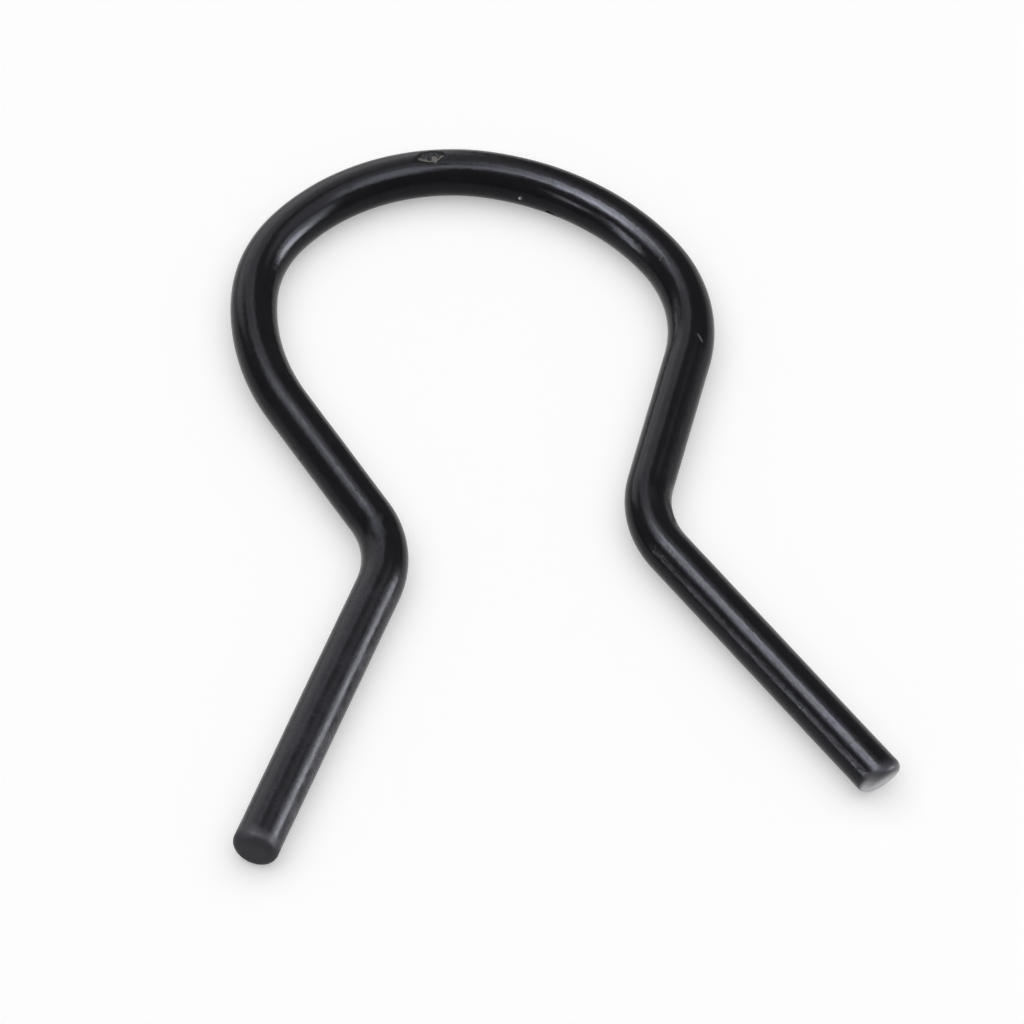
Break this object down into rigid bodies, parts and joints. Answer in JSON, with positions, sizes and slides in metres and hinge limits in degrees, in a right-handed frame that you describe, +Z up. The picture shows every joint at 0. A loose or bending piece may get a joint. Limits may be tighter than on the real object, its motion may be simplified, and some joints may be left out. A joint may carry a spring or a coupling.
{
  "type": "pivot retaining clip",
  "caption": "Omega-shaped spring clip bent from round wire: a wide loop, two arms that close to a neck, and two straight legs that splay outward.",
  "frame": {"origin": "midway between the two neck bends, on the plane that the clip lies on", "axes": "+Z up from the plane that the clip lies on, +Y from the neck to the crown of the loop, legs splaying towards -Y"},
  "size_m": [0.0345, 0.045, 0.0025],
  "materials": {
    "black_coating": "satin to semi-gloss black coating on spring steel wire, with a faint orange peel, a few chips and rub marks"
  },
  "bodies": {
    "root": {"wire_clip": "black_coating"}
  },
  "joints": []
}
